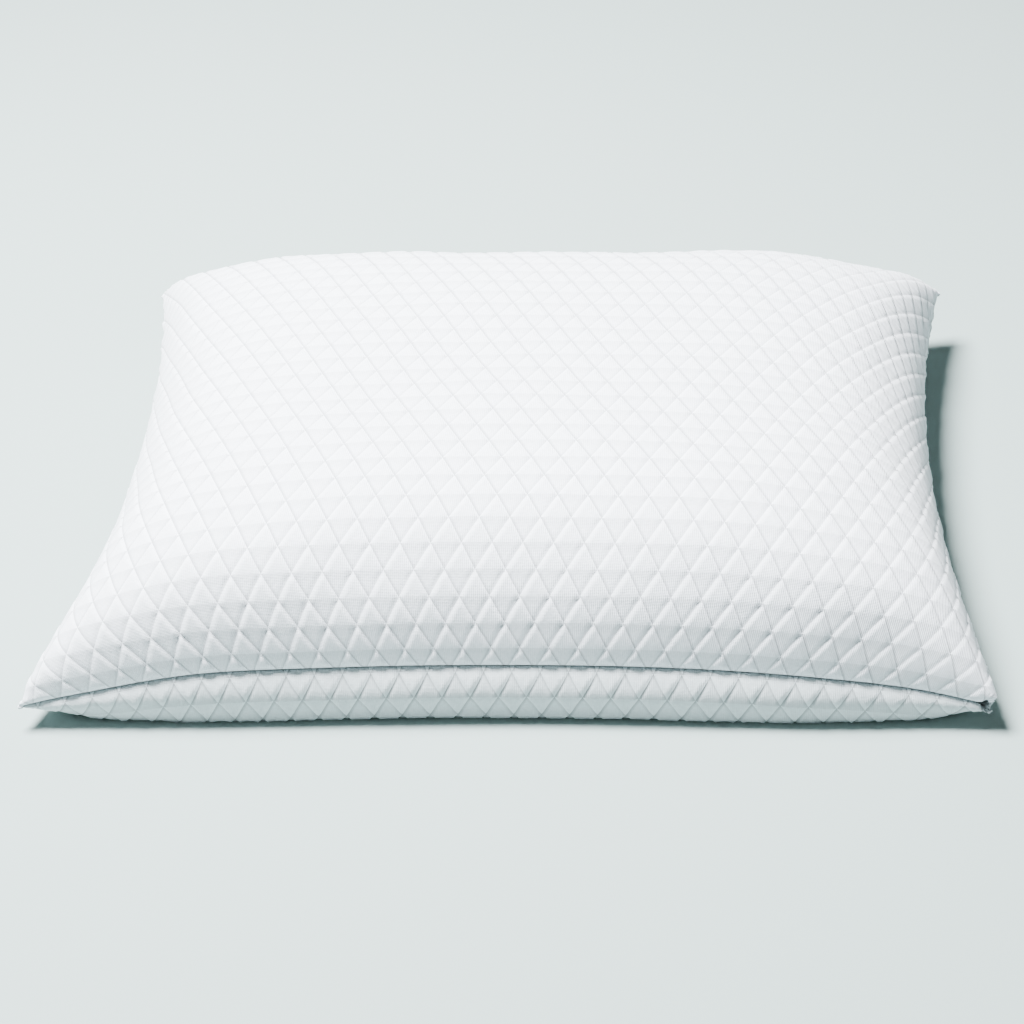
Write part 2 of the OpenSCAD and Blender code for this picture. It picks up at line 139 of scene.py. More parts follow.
def form(side, s, t, inset=0.0, depth=0.0):
    """Points of one layer: side 1 is over the seam and -1 under it, depth lies inside the cloth."""
    x, y = outline(s, t, inset)
    seam = seam_height(x, y)
    full = fullness(s, t)
    if side > 0:
        z = seam + (CROWN_RISE - depth) * full
    else:
        settled = np.minimum(1, SETTLE * full)
        z = seam * (1 - settled) + depth * settled
        forward = np.clip(-t, 0, None) ** 3 * (1 - s ** 4)
        y = y - FRONT_BELLY * forward * np.sin(np.pi * np.sqrt(full))
    return np.stack(put_down(x, y, z), axis=-1)


# %% [markdown]
# ## Blow the cloth up
# The formula alone looks like moulded plastic, because real cloth swells between its seams and crumples
# a little beside them. Blender's Cloth does that well: a closed skin with its seam pinned is put under
# pressure for twenty frames, without gravity.
#
# The skin is coarse and welded from two grids, so that each of its points keeps its place in the grid.
# The fine cloth is laid over the result afterwards, which is far quicker than simulating it.

# %% A helper that turns a bmesh into an object
def new_piece(name, bm, smooth=True):
    """An object at the origin made from a bmesh, which is freed."""
    mesh = bpy.data.meshes.new(name)
    bm.to_mesh(mesh)
    bm.free()
    piece = bpy.data.objects.new(name, mesh)
    bpy.context.scene.collection.objects.link(piece)
    mesh.polygons.foreach_set("use_smooth", [smooth] * len(mesh.polygons))
    return piece


def read_points(mesh):
    points = np.empty(len(mesh.vertices) * 3)
    mesh.vertices.foreach_get("co", points)
    return points.reshape(-1, 3)


def write_points(mesh, points):
    mesh.vertices.foreach_set("co", np.ascontiguousarray(points, dtype=np.float32).ravel())
    mesh.update()


# %% The skin: two grids welded along the seam
SKIN_X, SKIN_Y = 96, 72


def skin_stations(count):
    """Places from -1 to 1 that crowd together towards the seams."""
    return np.sin(np.pi / 2 * np.linspace(-1, 1, count + 1))


skin_t, skin_s = np.meshgrid(skin_stations(SKIN_Y), skin_stations(SKIN_X), indexing="ij")


def make_skin():
    """The closed skin, and the vertex numbers of its upper and lower grids."""
    bm = bmesh.new()
    upper = list(bmesh.ops.create_grid(bm, x_segments=SKIN_X, y_segments=SKIN_Y, size=1)["verts"])
    upper.sort(key=lambda v: (round(v.co.y, 5), round(v.co.x, 5)))
    copy = bmesh.ops.duplicate(bm, geom=bm.verts[:] + bm.edges[:] + bm.faces[:])
    lower = [copy["vert_map"][v] for v in upper]
    bmesh.ops.reverse_faces(bm, faces=[f for f in copy["geom"] if isinstance(f, bmesh.types.BMFace)])
    rows, columns = SKIN_Y + 1, SKIN_X + 1
    on_rim = [
        k for k in range(rows * columns)
        if k // columns in (0, rows - 1) or k % columns in (0, columns - 1)
    ]
    bmesh.ops.weld_verts(bm, targetmap={lower[k]: upper[k] for k in on_rim})
    for k in on_rim:
        lower[k] = upper[k]
    bm.verts.index_update()
    numbers = [np.array([v.index for v in layer]).reshape(rows, columns) for layer in (upper, lower)]
    return new_piece("skin", bm), numbers


# %% Pressure
SWELL_CAP = 5 * MM
START_IN = 3 * MM
SPARE_CLOTH = 0.012
CALM_PASSES = 24


def blow_up(skin, seam_numbers):
    """Run the cloth simulation and return its moves, capped, with the largest move."""
    before = read_points(skin.data)
    pins = skin.vertex_groups.new(name="seam")
    pins.add([int(k) for k in seam_numbers], 1.0, "REPLACE")
    cloth = skin.modifiers.new("cloth", "CLOTH")
    cloth.settings.quality = 6
    cloth.settings.mass = 0.25
    cloth.settings.tension_stiffness = 30
    cloth.settings.compression_stiffness = 30
    cloth.settings.shear_stiffness = 12
    cloth.settings.bending_stiffness = 4
    cloth.settings.use_pressure = True
    cloth.settings.uniform_pressure_force = 4
    cloth.settings.shrink_min = -SPARE_CLOTH
    cloth.settings.vertex_group_mass = "seam"
    cloth.settings.effector_weights.gravity = 0
    for number in range(1, 21):
        bpy.context.scene.frame_set(number)
    graph = bpy.context.evaluated_depsgraph_get()
    swollen = read_points(skin.evaluated_get(graph).to_mesh())
    skin.modifiers.remove(cloth)
    move = swollen - before
    length = np.linalg.norm(move, axis=1, keepdims=True)
    capped = move * SWELL_CAP * np.tanh(length / SWELL_CAP) / np.maximum(length, 1e-9)
    bpy.context.scene.frame_set(1)
    return capped, float(length.max())


def calm(move, passes):
    """Average a grid of moves with its neighbours, over and over, with the rim held still."""
    for _ in range(passes):
        inner = move[:-2, 1:-1] + move[2:, 1:-1] + move[1:-1, :-2] + move[1:-1, 2:]
        move[1:-1, 1:-1] = 0.5 * move[1:-1, 1:-1] + 0.125 * inner
    return move


skin, (upper_numbers, lower_numbers) = make_skin()
skin_points = np.zeros((len(skin.data.vertices), 3))
start_in = START_IN
skin_points[lower_numbers] = form(-1, skin_s, skin_t)
skin_points[upper_numbers] = form(1, skin_s, skin_t, depth=start_in)
write_points(skin.data, skin_points)
upper_skin = skin_points[upper_numbers]
lower_skin = skin_points[lower_numbers]
rim = np.unique(np.concatenate([
    upper_numbers[0], upper_numbers[-1], upper_numbers[:, 0], upper_numbers[:, -1]
]))
moves, most = blow_up(skin, rim)
upper_skin = upper_skin + calm(moves[upper_numbers], CALM_PASSES)
lower_skin = lower_skin + calm(moves[lower_numbers], CALM_PASSES)
print(f"the cloth moved {most / MM:.1f} mm at most, before the cap")
lower_skin[..., 2] = np.maximum(lower_skin[..., 2], 0)
bpy.data.objects.remove(skin)
print("crown height", round(float(upper_skin[..., 2].max()), 4))

# %% [markdown]
# ## Lay flat cloth over the skin
# A panel is cut flat, 26 by 20 inches, and the filling stretches it a little. Its pattern keeps nearly
# the same size wherever the cloth goes. So a point of the flat cloth has to find its place on the skin
# by distance along the cloth, not by its place in plan: beside the seams the cloth runs steeply, and a
# pattern placed in plan would be stretched there.
#
# The running length along every row and column of the skin gives each skin point its flat address.
# Looking an address up is then a few steps of Newton's method.

# %% Flat addresses and their places
CUT_W = 670 * MM
CUT_D = 560 * MM


def flat_addresses(skin_grid):
    """Flat distances from the left and front edges for each point of a skin grid."""
    steps_x = np.linalg.norm(np.diff(skin_grid, axis=1), axis=2)
    steps_y = np.linalg.norm(np.diff(skin_grid, axis=0), axis=2)
    along_x = np.pad(np.cumsum(steps_x, axis=1), ((0, 0), (1, 0)))
    along_y = np.pad(np.cumsum(steps_y, axis=0), ((1, 0), (0, 0)))
    return along_x / along_x[:, -1:] * CUT_W, along_y / along_y[-1:, :] * CUT_D


def at_grid(table, column, row):
    """Values of a table between its grid points, by straight lines."""
    i = np.clip(column.astype(int), 0, table.shape[1] - 2)
    j = np.clip(row.astype(int), 0, table.shape[0] - 2)
    a, b = column - i, row - j
    if table.ndim == 3:
        a, b = a[:, None], b[:, None]
    lower = table[j, i] * (1 - a) + table[j, i + 1] * a
    upper = table[j + 1, i] * (1 - a) + table[j + 1, i + 1] * a
    return lower * (1 - b) + upper * b


def at_grid_smooth(table, column, row):
    """The same by smooth curves, so that no grid line shows."""
    padded = np.concatenate([2 * table[:1] - table[1:2], table, 2 * table[-1:] - table[-2:-1]], axis=0)
    padded = np.concatenate(
        [2 * padded[:, :1] - padded[:, 1:2], padded, 2 * padded[:, -1:] - padded[:, -2:-1]], axis=1
    )
    i = np.clip(column.astype(int), 0, table.shape[1] - 2)
    j = np.clip(row.astype(int), 0, table.shape[0] - 2)

    def weights(x):
        return [
            ((-0.5 * x + 1) * x - 0.5) * x, (1.5 * x - 2.5) * x * x + 1,
            ((-1.5 * x + 2) * x + 0.5) * x, (0.5 * x - 0.5) * x * x
        ]

    total = 0
    for n, wy in enumerate(weights(row - j)):
        for m, wx in enumerate(weights(column - i)):
            total = total + padded[j + n, i + m] * (wx * wy)[:, None]
    return total


def lay_on(skin_grid, flat):
    """Places on the skin for flat addresses."""
    address_x, address_y = flat_addresses(skin_grid)
    rows, columns = address_x.shape
    column = flat[:, 0] / CUT_W * (columns - 1)
    row = flat[:, 1] / CUT_D * (rows - 1)
    slope_x = np.gradient(address_x, axis=1)
    slope_y = np.gradient(address_y, axis=0)
    for _ in range(30):
        miss_x = flat[:, 0] - at_grid(address_x, column, row)
        miss_y = flat[:, 1] - at_grid(address_y, column, row)
        column = np.clip(column + 0.8 * miss_x / at_grid(slope_x, column, row), 0, columns - 1)
        row = np.clip(row + 0.8 * miss_y / at_grid(slope_y, column, row), 0, rows - 1)
    worst = max(np.abs(miss_x).max(), np.abs(miss_y).max())
    print(f"addresses found to {worst / MM:.3f} mm")
    return at_grid_smooth(skin_grid, column, row)


# %% [markdown]
# ## The knitted cover
# The cover is a double knit. Its pattern is a net of grooves that cuts it into diamonds, and a fold
# across each diamond makes an upright triangle over a hanging one. The upright one tips up towards the
# light and the hanging one tips away.
#
# The pattern could be bump only, but then the outline and the seam stay smooth, and a mesh sent to
# another program loses it. Here the mesh itself follows the net: a grid is created along the two
# directions of the grooves, with its lines crowded beside each groove, and cut to the panel's shape.

# %% The flat sheet
DIAMOND_W = 19.1 * MM
ROW_H = 17.7 * MM
LINES = 6
CROWDING = 0.55
BACK_SKEW = 0.145
SEAM_LINES = [0.9 * MM, 1.9 * MM, 3.2 * MM, 5 * MM]


def skew_at(depth_share):
    """How far the cloth has slipped to the right, in metres, at a share of the way to the back."""
    past = np.clip(depth_share - 0.3, 0, None)
    return BACK_SKEW * CUT_D * past * past / 1.4


def crowd(x):
    """Move evenly spaced grid lines towards the whole numbers, where the grooves are."""
    return x - CROWDING * math.sin(2 * math.pi * x) / (2 * math.pi)


def cut_sheet(skewed, shift):
    """A flat panel as a bmesh. Its UV map keeps each point's place in the pattern."""
    reach_u = CUT_W / DIAMOND_W
    reach_v = CUT_D / ROW_H
    cells = math.ceil((reach_u + reach_v / 2) + 6)
    bm = bmesh.new()
    bmesh.ops.create_grid(bm, x_segments=cells * LINES, y_segments=cells * LINES, size=cells / 2)
    pattern = bm.verts.layers.float_vector.new("pattern")
    even = cells / 2 - cells // 2
    for v in bm.verts:
        a = crowd(v.co.x + even)
        b = crowd(v.co.y + even)
        across = (a + b) * DIAMOND_W / 2
        along = (b - a) * ROW_H
        v[pattern] = Vector((across, along, 0))
        u = CUT_W / 2 + across + shift[0]
        w = CUT_D / 2 + along + shift[1]
        v.co = Vector((u + (skew_at(w / CUT_D) if skewed else 0), w, 0))
    for at, axis in ((0, 0), (CUT_W, 0), (CUT_D, 1), (0, 1)):
        sign = 1 if at > 0 else -1
        normal = Vector((sign, 0, 0)) if axis == 0 else Vector((0, sign, 0))
        centre = Vector((at, 0, 0)) if axis == 0 else Vector((0, at, 0))
        bmesh.ops.bisect_plane(
            bm, geom=bm.verts[:] + bm.edges[:] + bm.faces[:], dist=1e-6,
            plane_co=centre, plane_no=normal, clear_outer=True
        )
        for step in SEAM_LINES:
            bmesh.ops.bisect_plane(
                bm, geom=bm.verts[:] + bm.edges[:] + bm.faces[:], dist=1e-6,
                plane_co=centre - normal * step, plane_no=normal
            )
    uv = bm.loops.layers.uv.new("cloth")
    for face in bm.faces:
        for loop in face.loops:
            loop[uv].uv = loop.vert[pattern].xy
    bm.normal_update()
    return bm


# %% [markdown]
# The relief works like shingles. The upright triangle rises from its tip to its base, where it stands
# over the hanging triangle below it. That one lies low and flat. A groove runs down both slopes.

# %% Relief of the pattern
RELIEF = 1.9 * MM
LOW_SHARE = 0.45
STEP_SHARE = 0.3
GROOVE_W = 0.12


def waves(x, y, size, seed, count=7):
    """Smooth random hills about 1 high and size across, always the same for a seed."""
    random = np.random.default_rng(seed)
    total = 0
    for _ in range(count):
        turn, start = random.uniform(0, 2 * np.pi, 2)
        scale = random.uniform(0.7, 1.5) * 2 * np.pi / size
        total = total + np.sin(scale * (x * np.cos(turn) + y * np.sin(turn)) + start)
    return total / math.sqrt(count / 2)


def relief(pattern_x, pattern_y):
    """Height of the pattern over the cloth."""
    a = pattern_x / DIAMOND_W + pattern_y / (2 * ROW_H)
    b = pattern_x / DIAMOND_W - pattern_y / (2 * ROW_H)
    fa, fb = a - np.floor(a + 1e-7), b - np.floor(b + 1e-7)
    fa, fb = np.clip(fa, 0, 1), np.clip(fb, 0, 1)
    above = fa - fb
    drop = np.clip(1 + above / STEP_SHARE, 0, 1)
    hanging = LOW_SHARE + (0.8 - LOW_SHARE) * drop
    slope = np.minimum(np.minimum(fa, 1 - fa), np.minimum(fb, 1 - fb))
    ridge = 0.2 * np.exp(-((slope - 0.1) / 0.07) ** 2)
    wall = 1 - (1 - np.clip(slope / GROOVE_W, 0, 1)) ** 2
    return RELIEF * np.where(above > 0, 0.8 + ridge, hanging) * (0.25 + 0.75 * wall)


# %% [markdown]
# ## The seam
# Two panels are sewn face to face and turned, so each rolls into the seam and meets the other a few
# millimetres inside. The thread draws the edge up, which leaves short puckers along it. Along the back
# the panels don't meet: each is turned in over a zip tape and leaves a slot for the zip.

# %% Roll the edges in
ROLL_W = 2.8 * MM
ROLL_DEPTH = 1.5 * MM
TAPE_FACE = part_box("cover_zip_tape_upper")[1][1]
SLOT_HALF = 5.0 * MM
CLOTH_T = 1.5 * MM


def seam_direction(flat):
    """Distance from the nearest edge of the cut, and which way that edge faces."""
    gaps = np.stack([flat[:, 0], CUT_W - flat[:, 0], flat[:, 1], CUT_D - flat[:, 1]], axis=1)
    ways = np.array([[-1, 0, 0], [1, 0, 0], [0, -1, 0], [0, 1, 0]], float)
    near = np.exp(-np.maximum(gaps - gaps.min(axis=1, keepdims=True), 0) / (2 * MM))
    way = near @ ways
    way /= np.maximum(np.linalg.norm(way, axis=1, keepdims=True), 1e-9)
    return gaps.min(axis=1), way


def roll_edges(points, flat, side):
    """Roll a panel's edges in, and turn the back edge in over the zip."""
    gap, way = seam_direction(flat)
    roll = np.clip(1 - gap / ROLL_W, 0, 1) ** 2
    at_back = rise_between(flat[:, 1], CUT_D - 30 * MM, CUT_D - 25 * MM)
    open_half = SLOT_HALF * rise_between(ZIP_HALF + 2 * MM - np.abs(points[:, 0]), 0, 9 * MM) * at_back
    points = points - way * (ROLL_DEPTH * roll * (1 - open_half / SLOT_HALF))[:, None]
    over = side * (points[:, 2] - seam_height(points[:, 0], points[:, 1]))
    turned = np.clip(open_half - over, 0, None) * (open_half > 0)
    points[:, 2] += side * turned
    face_y = np.minimum(points[:, 1], TAPE_FACE + 0.25 * MM)
    points[:, 1] = np.maximum(points[:, 1] - 0.9 * turned, np.where(turned > 0, face_y, -1))
    return points


def puckers(flat, seed):
    """Short gathers beside the seams, strongest on the two short edges."""
    left, right = flat[:, 0], CUT_W - flat[:, 0]
    front, back = flat[:, 1], CUT_D - flat[:, 1]
    total = 0
    for n, (gap, run, size, reach) in enumerate([
        (left, flat[:, 1], 1.1 * MM, 16 * MM), (right, flat[:, 1], 0.9 * MM, 16 * MM),
        (front, flat[:, 0], 0.35 * MM, 9 * MM), (back, flat[:, 0], 0.5 * MM, 12 * MM)
    ]):
        gathers = waves(run, 0 * run, 26 * MM, seed + n) * 0.6
        gathers = gathers + waves(run, 0 * run, 11 * MM, seed + 9 + n) * 0.4
        total = total + size * gathers * np.exp(-gap / reach) * rise_between(gap, 0, 4 * MM)
    return total


# %% [markdown]
# At the right front the corner was turned with its point tucked in. The end is blunt there, with a
# small oval pocket where the point went.

# %% Tuck a corner
BLUNT_W = 11 * MM
BLUNT_RISE = 5 * MM
POCKET_W, POCKET_H = 4.5 * MM, 7 * MM
POCKET_DEPTH = 10 * MM


def tuck_corner(points, side):
    """Blunt the right front corner and push a pocket into its end."""
    tip = form(side, np.float64(1), np.float64(-1))
    outwards = np.array([0.87, -0.49, 0])
    across = np.array([0.49, 0.87, 0])
    away = points - tip
    near = np.exp(-np.sum(away[:, :2] ** 2, axis=1) / BLUNT_W ** 2)
    points = points + np.outer(side * BLUNT_RISE * near, (0, 0, 1))
    away = points - tip
    pocket = np.exp(-(away @ across / POCKET_W) ** 2 - (away[:, 2] / POCKET_H) ** 2)
    pocket = pocket * rise_between(away @ outwards, -16 * MM, -6 * MM)
    return points - np.outer(POCKET_DEPTH * pocket, outwards)


# %% Make a cover panel
def cover_panel(name, side, skin_grid, shift, seed):
    """A finished panel: laid on the skin, in relief, with rolled edges."""
    bm = cut_sheet(skewed=side > 0, shift=shift)
    if side < 0:
        bmesh.ops.reverse_faces(bm, faces=bm.faces[:])
    piece = new_piece(name, bm)
    mesh = piece.data
    flat = read_points(mesh)[:, :2]
    pattern = np.empty(len(flat) * 3)
    mesh.attributes["pattern"].data.foreach_get("vector", pattern)
    pattern = pattern.reshape(-1, 3)
    laid = lay_on(skin_grid, flat)
    write_points(mesh, laid)
    normals = np.empty(len(flat) * 3)
    mesh.vertices.foreach_get("normal", normals)
    normals = normals.reshape(-1, 3)
    gap, _ = seam_direction(flat)
    uneven = 0.92 + 0.08 * waves(flat[:, 0], flat[:, 1], 60 * MM, seed)
    height = relief(pattern[:, 0], pattern[:, 1]) * uneven
    to_side = np.minimum(flat[:, 0], CUT_W - flat[:, 0])
    height = height * (0.5 + 0.5 * rise_between(to_side, 20 * MM, 140 * MM))
    height = height * rise_between(gap, 1 * MM, 7 * MM) + puckers(flat, seed)
    hills = 0.5 * MM * waves(flat[:, 0], flat[:, 1], 150 * MM, seed + 5)
    height = height + hills * rise_between(gap, 0, 80 * MM)
    placed = laid + normals * (height - 0.6 * RELIEF)[:, None]
    placed = roll_edges(placed, flat, side)
    placed = tuck_corner(placed, side)
    placed[:, 2] = np.maximum(placed[:, 2], 0)
    write_points(mesh, placed)
    mesh.attributes.remove(mesh.attributes["pattern"])
    print(name, len(mesh.polygons), "faces")
    return piece


cover_top = cover_panel("cover_top_panel", 1, upper_skin, (0, 0), 11)
cover_bottom = cover_panel("cover_bottom_panel", -1, lower_skin, (4 * MM, 6 * MM), 23)


# %% [markdown]
# Solidify gives the cloth its thickness, inwards, and closes each panel into a solid.

# %% Thickness
def thicken(piece, thickness):
    solid = piece.modifiers.new("thickness", "SOLIDIFY")
    solid.thickness = thickness
    solid.offset = -1
    solid.use_rim = True


thicken(cover_top, CLOTH_T)
thicken(cover_bottom, CLOTH_T)

# %% [markdown]
# ## Knit
# The yarn is matte white polyester. Close to, the knit shows fine upright ribs of stitches. Its colour
# holds painted shade deep in the grooves and under each fold, and a painted highlight along the edges of
# the upright triangles; the hanging triangles are also a little darker for their tighter knit. The cloth
# has a soft sheen.
#
# Both panels are the same knit. The lower one is set a little greyer only for the picture: it stands in
# for shade under the pillow that this soft light doesn't make.

# %% The knit material
class Nodes:
    """A short way to write a material's nodes."""

    def __init__(self, name, color, roughness):
        self.material = bpy.data.materials.new(name)
        self.material.use_nodes = True
        self.tree = self.material.node_tree
        self.shader = self.tree.nodes["Principled BSDF"]
        self.shader.inputs["Base Color"].default_value = (*color, 1)
        self.shader.inputs["Roughness"].default_value = roughness

    def node(self, kind, links=(), **settings):
        node = self.tree.nodes.new(kind)
        for key, value in settings.items():
            if hasattr(node, key):
                setattr(node, key, value)
            else:
                node.inputs[key].default_value = value
        for socket, source in links:
            self.tree.links.new(source, node.inputs[socket])
        return node

    def math(self, operation, a, b=0.0):
        node = self.node("ShaderNodeMath", operation=operation)
        for socket, value in zip((0, 1), (a, b)):
            if isinstance(value, (int, float)):
                node.inputs[socket].default_value = value
            else:
                self.tree.links.new(value, node.inputs[socket])
        return node.outputs[0]

    def to_shader(self, socket, source):
        self.tree.links.new(source, self.shader.inputs[socket])


WHITE = (0.84, 0.885, 0.95)
UNDER_WHITE = (0.64, 0.71, 0.74)


def knit_material(name, color):
    knit = Nodes(name, color, 0.9)
    knit.shader.inputs["Sheen Weight"].default_value = 0.25
    knit.shader.inputs["Sheen Roughness"].default_value = 0.5
    place = knit.node("ShaderNodeUVMap", uv_map="cloth")
    apart = knit.node("ShaderNodeSeparateXYZ", [("Vector", place.outputs[0])])
    across, along = apart.outputs[0], apart.outputs[1]
    a = knit.math("ADD", knit.math("DIVIDE", across, DIAMOND_W), knit.math("DIVIDE", along, 2 * ROW_H))
    b = knit.math("SUBTRACT", knit.math("DIVIDE", across, DIAMOND_W), knit.math("DIVIDE", along, 2 * ROW_H))
    share_a, share_b = knit.math("FRACT", a), knit.math("FRACT", b)
    over = knit.math("SUBTRACT", share_a, share_b)
    upright = knit.math("GREATER_THAN", over, 0.0)
    inside = knit.math("MINIMUM", knit.math("SUBTRACT", 1.0, share_a), share_b)
    noise = knit.node("ShaderNodeTexNoise", [("Vector", place.outputs[0])], Scale=420.0, Detail=3.0)
    # The hanging triangles are darker, partly for their tighter knit and partly as painted shade from their
    # tilt, darkest just under the fold where the upright triangle overhangs them.
    low = knit.node("ShaderNodeMapRange", [("Value", over)], interpolation_type="SMOOTHSTEP")
    low.inputs["From Min"].default_value = -0.5
    low.inputs["From Max"].default_value = -0.05
    low.inputs["To Min"].default_value = 0.92
    low.inputs["To Max"].default_value = 0.83
    # Painted shade in the grooves, heavier along one of their two directions.
    painted_groove_shade_a = knit.node("ShaderNodeMapRange", [("Value", share_a)], interpolation_type="SMOOTHSTEP")
    painted_groove_shade_a.inputs["From Max"].default_value = 0.15
    painted_groove_shade_a.inputs["To Min"].default_value = 0.58
    rising_share = knit.math("SUBTRACT", 1.0, share_b)
    painted_groove_shade_b = knit.node("ShaderNodeMapRange", [("Value", rising_share)], interpolation_type="SMOOTHSTEP")
    painted_groove_shade_b.inputs["From Max"].default_value = 0.13
    painted_groove_shade_b.inputs["To Min"].default_value = 0.74
    # Painted highlight along the edges of the upright triangles, where their raised rims catch the light.
    ridge = knit.node("ShaderNodeMapRange", [("Value", inside)], interpolation_type="SMOOTHSTEP")
    ridge.inputs["From Max"].default_value = 0.2
    ridge.inputs["To Min"].default_value = 1.06
    ridge.inputs["To Max"].default_value = 0.97
    painted_groove_shade = knit.math("MULTIPLY", painted_groove_shade_a.outputs[0], painted_groove_shade_b.outputs[0])
    hanging = knit.math("MULTIPLY", low.outputs[0], painted_groove_shade)
    upright_with_painted_highlight = knit.math("MULTIPLY", ridge.outputs[0], upright)
    hanging_knit_and_painted_shade = knit.math("MULTIPLY", hanging, knit.math("SUBTRACT", 1.0, upright))
    speckle = knit.math("ADD", 0.86, knit.math("MULTIPLY", noise.outputs["Fac"], 0.27))
    tone = knit.math("MULTIPLY", knit.math("ADD", upright_with_painted_highlight, hanging_knit_and_painted_shade), speckle)
    tint = knit.node("ShaderNodeMix", [("Factor", tone)], data_type="RGBA", clamp_factor=False)
    tint.inputs["A"].default_value = (0, 0, 0, 1)
    tint.inputs["B"].default_value = (*color, 1)
    knit.to_shader("Base Color", tint.outputs["Result"])
    ribs = knit.math("SINE", knit.math("MULTIPLY", across, 2 * math.pi / (1.25 * MM)))
    courses = knit.math("SINE", knit.math("MULTIPLY", along, 2 * math.pi / (1.0 * MM)))
    height = knit.math("ADD", ribs, knit.math("MULTIPLY", courses, 0.4))
    height = knit.math("ADD", height, knit.math("MULTIPLY", noise.outputs["Fac"], 3.0))
    bump = knit.node("ShaderNodeBump", [("Height", height)])
    bump.inputs["Strength"].default_value = 0.5
    bump.inputs["Distance"].default_value = 0.14 * MM
    knit.to_shader("Normal", bump.outputs[0])
    return knit.material


cover_top.data.materials.append(knit_material("white_double_knit", WHITE))
cover_bottom.data.materials.append(knit_material("white_double_knit_under", UNDER_WHITE))

# %% [markdown]
# ## The lining bag
# Inside the cover a thin woven bag keeps the crumbs of foam in. It is cut like the cover and lies a
# little inside it. It needs no simulation, since it hangs on the filling: the same form set in, with the
# soft creases that thin cloth gathers near its seams.

# %% Make a lining panel
LINER_INSET = 13 * MM
LINER_DEPTH = 2.2 * MM
LINER_T = 0.6 * MM
LINER_CUT = (634 * MM, 484 * MM)
LINER_SLOT_HALF = 4.2 * MM
LINER_ZIP_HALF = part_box("liner_zip_tape_upper")[1][0]
LINER_TAPE_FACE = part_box("liner_zip_tape_upper")[1][1]


def liner_panel(name, side):
    bm = bmesh.new()
    bmesh.ops.create_grid(bm, x_segments=150, y_segments=116, size=1)
    if side < 0:
        bmesh.ops.reverse_faces(bm, faces=bm.faces[:])
    uv = bm.loops.layers.uv.new("cloth")
    for face in bm.faces:
        for loop in face.loops:
            x, y, _ = loop.vert.co
            loop[uv].uv = (x * LINER_CUT[0] / 2, y * LINER_CUT[1] / 2)
    piece = new_piece(name, bm)
    flat = read_points(piece.data)
    s = np.sin(np.pi / 2 * flat[:, 0])
    t = np.sin(np.pi / 2 * flat[:, 1])
    points = form(side, s, t, LINER_INSET, LINER_DEPTH)
    near = np.minimum((1 - np.abs(s)) * WIDTH / 2, (1 - np.abs(t)) * DEPTH / 2)
    creases = np.abs(waves(s * 0.32, t * 0.24, 35 * MM, 41)) * np.exp(-near / (40 * MM))
    points[:, 2] -= side * 1.6 * MM * creases * rise_between(near, 2 * MM, 12 * MM)
    points[:, 2] = np.maximum(points[:, 2], LINER_DEPTH)
    at_back = rise_between(t, 0.9, 0.93)
    opened = rise_between(LINER_ZIP_HALF + 2 * MM - np.abs(points[:, 0]), 0, 9 * MM)
    open_half = LINER_SLOT_HALF * opened * at_back
    over = side * (points[:, 2] - seam_height(points[:, 0], points[:, 1]))
    turned = np.clip(open_half - over, 0, None) * (open_half > 0)
    points[:, 2] += side * turned
    inner_y = np.where(turned > 0, np.minimum(points[:, 1], LINER_TAPE_FACE + 0.25 * MM), -1)
    points[:, 1] = np.maximum(points[:, 1] - 0.9 * turned, inner_y)
    write_points(piece.data, points)
    thicken(piece, LINER_T)
    print(name, len(piece.data.polygons), "faces")
    return piece


liner_top = liner_panel("liner_top_panel", 1)
liner_bottom = liner_panel("liner_bottom_panel", -1)


# %% [markdown]
# Plain weave shows as fine crossing threads. Two sine waves across the cloth's own UV map give the
# threads, and slow noise keeps them from looking printed.

# %% A woven material
def woven(name, color, darker, thread, roughness=0.85):
    cloth = Nodes(name, color, roughness)
    place = cloth.node("ShaderNodeUVMap", uv_map="cloth")
    apart = cloth.node("ShaderNodeSeparateXYZ", [("Vector", place.outputs[0])])
    warp = cloth.math("SINE", cloth.math("MULTIPLY", apart.outputs[0], 2 * math.pi / thread))
    weft = cloth.math("SINE", cloth.math("MULTIPLY", apart.outputs[1], 2 * math.pi / thread))
    noise = cloth.node("ShaderNodeTexNoise", [("Vector", place.outputs[0])], Scale=300.0, Detail=3.0)
    tint = cloth.node("ShaderNodeMix", [("Factor", noise.outputs["Fac"])], data_type="RGBA")
    tint.inputs["A"].default_value = (*darker, 1)
    tint.inputs["B"].default_value = (*color, 1)
    cloth.to_shader("Base Color", tint.outputs["Result"])
    threads = cloth.math("MULTIPLY", warp, weft)
    fuzz = cloth.math("MULTIPLY", noise.outputs["Fac"], 2.0)
    height = cloth.math("ADD", threads, fuzz)
    bump = cloth.node("ShaderNodeBump", [("Height", height)])
    bump.inputs["Strength"].default_value = 0.4
    bump.inputs["Distance"].default_value = thread * 0.15
    cloth.to_shader("Normal", bump.outputs[0])
    return cloth.material


lining_cotton = woven("lining_cotton", (0.88, 0.86, 0.81), (0.80, 0.78, 0.73), 0.5 * MM)
for piece in (liner_top, liner_bottom):
    piece.data.materials.append(lining_cotton)

# %% [markdown]
# ## The foam
# The fill is offcuts of foam torn into crumbs, and together they take the bag's shape. Thousands of loose
# crumbs would be slow and nobody sees inside the mass, so it is one closed skin whose surface is pushed
# out into crumb-sized lumps. Each lump belongs to one of many scattered points: the nearer the point,
# the higher the surface.

# %% Make the foam
FOAM_INSET = 24 * MM
FOAM_DEPTH = 3.4 * MM
CRUMB = 13 * MM


